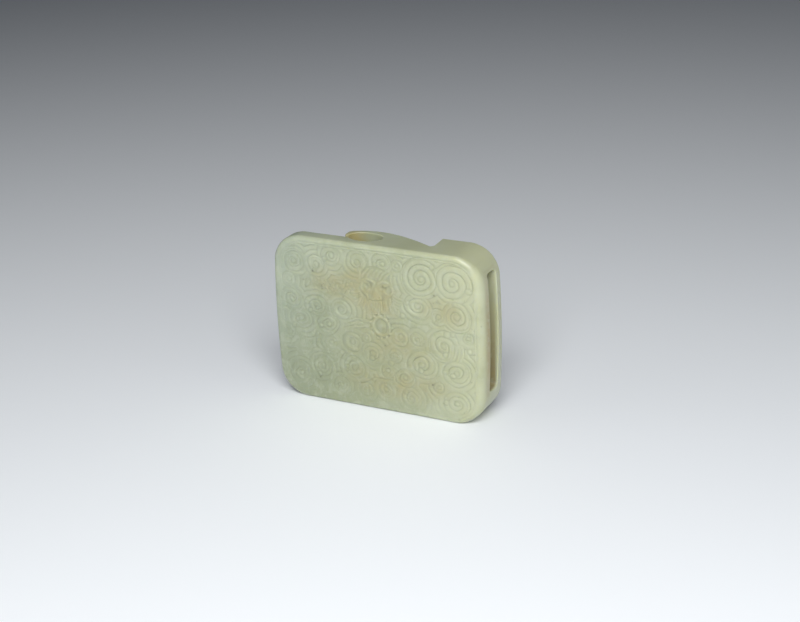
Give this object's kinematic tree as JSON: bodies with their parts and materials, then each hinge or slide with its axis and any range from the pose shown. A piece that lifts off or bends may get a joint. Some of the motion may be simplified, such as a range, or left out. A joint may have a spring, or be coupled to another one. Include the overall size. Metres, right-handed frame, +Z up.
{
  "type": "jade belt buckle",
  "caption": "Rectangular jade buckle with a scroll-and-dragon carved front, a strap loop behind one end and a hook with an eye behind the other.",
  "frame": {"origin": "middle of the underside's bounding box, with the buckle standing on its long lower edge", "axes": "+X to the right of the carving as it is looked at, where the strap loop is; -Y out of the carved face; +Z up"},
  "size_m": [0.06, 0.0124, 0.0455],
  "materials": {
    "jade": "satin"
  },
  "bodies": {
    "root": {"jade_belt_buckle": "jade"}
  },
  "joints": []
}
